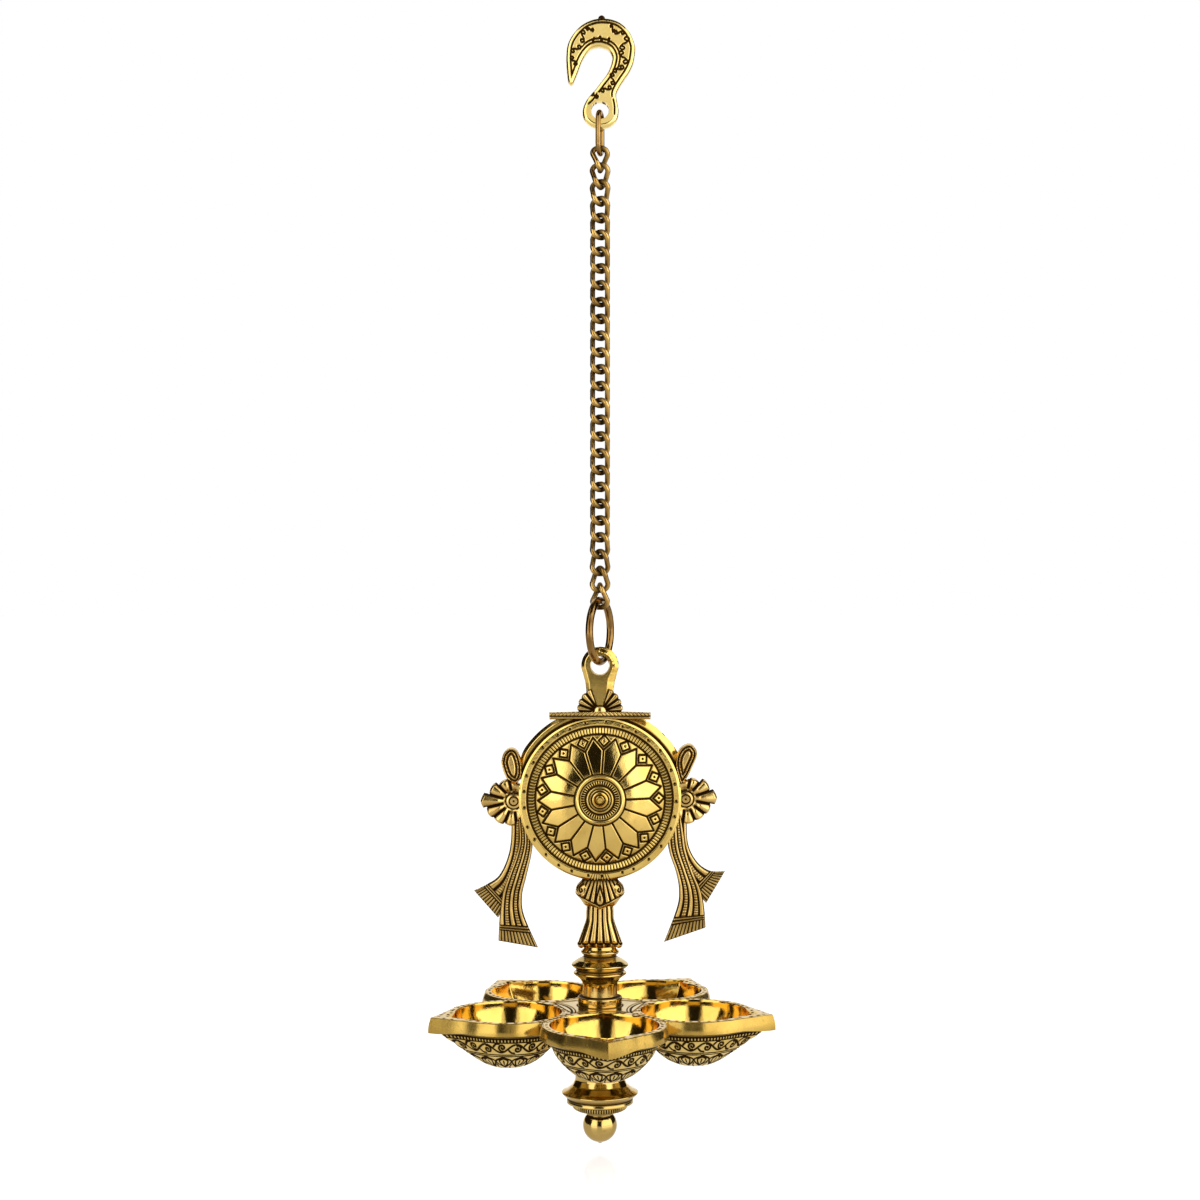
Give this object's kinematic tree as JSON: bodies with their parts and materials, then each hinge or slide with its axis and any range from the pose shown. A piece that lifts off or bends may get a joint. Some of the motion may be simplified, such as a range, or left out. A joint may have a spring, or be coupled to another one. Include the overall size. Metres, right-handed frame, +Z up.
{
  "type": "hanging oil lamp",
  "caption": "Brass oil lamp that hangs from a hook on a curb chain: a petalled wheel plate with ribbon tails over a ring of pointed oil cups and a ball finial.",
  "frame": {"origin": "centre of the hook's bowl, where the lamp hangs on a rod", "axes": "+Z up along the chain, -Y out of the front of the wheel, +Y along the rod in the bowl"},
  "size_m": [0.169, 0.1631, 0.5625],
  "materials": {
    "polished_brass": "cast and turned brass, polished, with dark patina in the engraving",
    "antique_brass": "brass wire with a dark antique finish, rubbed bright on the outside"
  },
  "bodies": {
    "hook": {"hook": "polished_brass"},
    "hook_link": {"hook_link": "antique_brass"},
    "chain_link_01": {"chain_link_01": "antique_brass"},
    "chain_link_02": {"chain_link_02": "antique_brass"},
    "chain_link_03": {"chain_link_03": "antique_brass"},
    "chain_link_04": {"chain_link_04": "antique_brass"},
    "chain_link_05": {"chain_link_05": "antique_brass"},
    "chain_link_06": {"chain_link_06": "antique_brass"},
    "chain_link_07": {"chain_link_07": "antique_brass"},
    "chain_link_08": {"chain_link_08": "antique_brass"},
    "chain_link_09": {"chain_link_09": "antique_brass"},
    "chain_link_10": {"chain_link_10": "antique_brass"},
    "chain_link_11": {"chain_link_11": "antique_brass"},
    "chain_link_12": {"chain_link_12": "antique_brass"},
    "chain_link_13": {"chain_link_13": "antique_brass"},
    "chain_link_14": {"chain_link_14": "antique_brass"},
    "chain_link_15": {"chain_link_15": "antique_brass"},
    "chain_link_16": {"chain_link_16": "antique_brass"},
    "chain_link_17": {"chain_link_17": "antique_brass"},
    "chain_link_18": {"chain_link_18": "antique_brass"},
    "chain_link_19": {"chain_link_19": "antique_brass"},
    "chain_link_20": {"chain_link_20": "antique_brass"},
    "chain_link_21": {"chain_link_21": "antique_brass"},
    "chain_link_22": {"chain_link_22": "antique_brass"},
    "chain_link_23": {"chain_link_23": "antique_brass"},
    "chain_link_24": {"chain_link_24": "antique_brass"},
    "chain_link_25": {"chain_link_25": "antique_brass"},
    "chain_link_26": {"chain_link_26": "antique_brass"},
    "chain_link_27": {"chain_link_27": "antique_brass"},
    "plate_ring": {"plate_ring": "antique_brass"},
    "lamp": {"wheel_plate": "polished_brass", "wheel_disc": "polished_brass", "disc_rivet": "polished_brass", "sash_left": "polished_brass", "sash_right": "polished_brass", "stem_baluster": "polished_brass", "tie_rod": "antique_brass", "cup_hub": "polished_brass", "cup_1": "polished_brass", "cup_2": "polished_brass", "cup_3": "polished_brass", "cup_4": "polished_brass", "cup_5": "polished_brass", "lower_collar": "polished_brass", "ball_finial": "polished_brass"}
  },
  "joints": [
    {"name": "hook_link_swing", "type": "hinge", "parent": "hook", "child": "hook_link", "pos_m": [0, 0, -0.0262], "axis": [0.1736, 0.9848, 0], "range_deg": [-20, 20]},
    {"name": "link_01_swing", "type": "hinge", "parent": "hook_link", "child": "chain_link_01", "pos_m": [0, 0, -0.0469], "axis": [-0.1736, -0.9848, 0], "range_deg": [-20, 20]},
    {"name": "link_02_swing", "type": "hinge", "parent": "chain_link_01", "child": "chain_link_02", "pos_m": [0, 0, -0.05245], "axis": [0.9603, -0.279, 0], "range_deg": [-30, 30]},
    {"name": "link_03_swing", "type": "hinge", "parent": "chain_link_02", "child": "chain_link_03", "pos_m": [0, 0, -0.06085], "axis": [-0.8763, 0.4818, 0], "range_deg": [-30, 30]},
    {"name": "link_04_swing", "type": "hinge", "parent": "chain_link_03", "child": "chain_link_04", "pos_m": [0, 0, -0.07205], "axis": [0.4818, 0.8763, 0], "range_deg": [-30, 30]},
    {"name": "link_05_swing", "type": "hinge", "parent": "chain_link_04", "child": "chain_link_05", "pos_m": [0, 0, -0.08045], "axis": [-0.6129, -0.7902, 0], "range_deg": [-30, 30]},
    {"name": "link_06_swing", "type": "hinge", "parent": "chain_link_05", "child": "chain_link_06", "pos_m": [0, 0, -0.08605], "axis": [-0.7071, 0.7071, 0], "range_deg": [-30, 30]},
    {"name": "link_07_swing", "type": "hinge", "parent": "chain_link_06", "child": "chain_link_07", "pos_m": [0, 0, -0.09445], "axis": [0.7071, -0.7071, 0], "range_deg": [-30, 30]},
    {"name": "link_08_swing", "type": "hinge", "parent": "chain_link_07", "child": "chain_link_08", "pos_m": [0, 0, -0.10565], "axis": [-0.7071, -0.7071, 0], "range_deg": [-30, 30]},
    {"name": "link_09_swing", "type": "hinge", "parent": "chain_link_08", "child": "chain_link_09", "pos_m": [0, 0, -0.11405], "axis": [0.7071, 0.7071, 0], "range_deg": [-30, 30]},
    {"name": "link_10_swing", "type": "hinge", "parent": "chain_link_09", "child": "chain_link_10", "pos_m": [0, 0, -0.11965], "axis": [0.7071, -0.7071, 0], "range_deg": [-30, 30]},
    {"name": "link_11_swing", "type": "hinge", "parent": "chain_link_10", "child": "chain_link_11", "pos_m": [0, 0, -0.12805], "axis": [-0.7071, 0.7071, 0], "range_deg": [-30, 30]},
    {"name": "link_12_swing", "type": "hinge", "parent": "chain_link_11", "child": "chain_link_12", "pos_m": [0, 0, -0.13925], "axis": [0.7071, 0.7071, 0], "range_deg": [-30, 30]},
    {"name": "link_13_swing", "type": "hinge", "parent": "chain_link_12", "child": "chain_link_13", "pos_m": [0, 0, -0.14765], "axis": [-0.7071, -0.7071, 0], "range_deg": [-30, 30]},
    {"name": "link_14_swing", "type": "hinge", "parent": "chain_link_13", "child": "chain_link_14", "pos_m": [0, 0, -0.15325], "axis": [-0.7071, 0.7071, 0], "range_deg": [-30, 30]},
    {"name": "link_15_swing", "type": "hinge", "parent": "chain_link_14", "child": "chain_link_15", "pos_m": [0, 0, -0.16165], "axis": [0.7071, -0.7071, 0], "range_deg": [-30, 30]},
    {"name": "link_16_swing", "type": "hinge", "parent": "chain_link_15", "child": "chain_link_16", "pos_m": [0, 0, -0.17285], "axis": [-0.7071, -0.7071, 0], "range_deg": [-30, 30]},
    {"name": "link_17_swing", "type": "hinge", "parent": "chain_link_16", "child": "chain_link_17", "pos_m": [0, 0, -0.18125], "axis": [0.7071, 0.7071, 0], "range_deg": [-30, 30]},
    {"name": "link_18_swing", "type": "hinge", "parent": "chain_link_17", "child": "chain_link_18", "pos_m": [0, 0, -0.18685], "axis": [0.7071, -0.7071, 0], "range_deg": [-30, 30]},
    {"name": "link_19_swing", "type": "hinge", "parent": "chain_link_18", "child": "chain_link_19", "pos_m": [0, 0, -0.19525], "axis": [-0.7071, 0.7071, 0], "range_deg": [-30, 30]},
    {"name": "link_20_swing", "type": "hinge", "parent": "chain_link_19", "child": "chain_link_20", "pos_m": [0, 0, -0.20645], "axis": [0.7071, 0.7071, 0], "range_deg": [-30, 30]},
    {"name": "link_21_swing", "type": "hinge", "parent": "chain_link_20", "child": "chain_link_21", "pos_m": [0, 0, -0.21485], "axis": [-0.7071, -0.7071, 0], "range_deg": [-30, 30]},
    {"name": "link_22_swing", "type": "hinge", "parent": "chain_link_21", "child": "chain_link_22", "pos_m": [0, 0, -0.22045], "axis": [-0.7071, 0.7071, 0], "range_deg": [-30, 30]},
    {"name": "link_23_swing", "type": "hinge", "parent": "chain_link_22", "child": "chain_link_23", "pos_m": [0, 0, -0.22885], "axis": [0.6845, -0.729, 0], "range_deg": [-30, 30]},
    {"name": "link_24_swing", "type": "hinge", "parent": "chain_link_23", "child": "chain_link_24", "pos_m": [0, 0, -0.24005], "axis": [-0.729, -0.6845, 0], "range_deg": [-30, 30]},
    {"name": "link_25_swing", "type": "hinge", "parent": "chain_link_24", "child": "chain_link_25", "pos_m": [0, 0, -0.24845], "axis": [0.7902, 0.6129, 0], "range_deg": [-30, 30]},
    {"name": "link_26_swing", "type": "hinge", "parent": "chain_link_25", "child": "chain_link_26", "pos_m": [0, 0, -0.25405], "axis": [0.279, -0.9603, 0], "range_deg": [-30, 30]},
    {"name": "link_27_swing", "type": "hinge", "parent": "chain_link_26", "child": "chain_link_27", "pos_m": [0, 0, -0.26245], "axis": [0, 1, 0], "range_deg": [-30, 30]},
    {"name": "ring_swing", "type": "hinge", "parent": "chain_link_27", "child": "plate_ring", "pos_m": [0, 0, -0.2702], "axis": [-0.342, -0.9397, 0], "range_deg": [-25, 25]},
    {"name": "plate_swing", "type": "hinge", "parent": "plate_ring", "child": "lamp", "pos_m": [0, 0, -0.3009], "axis": [0.342, 0.9397, 0], "range_deg": [-25, 25]}
  ]
}
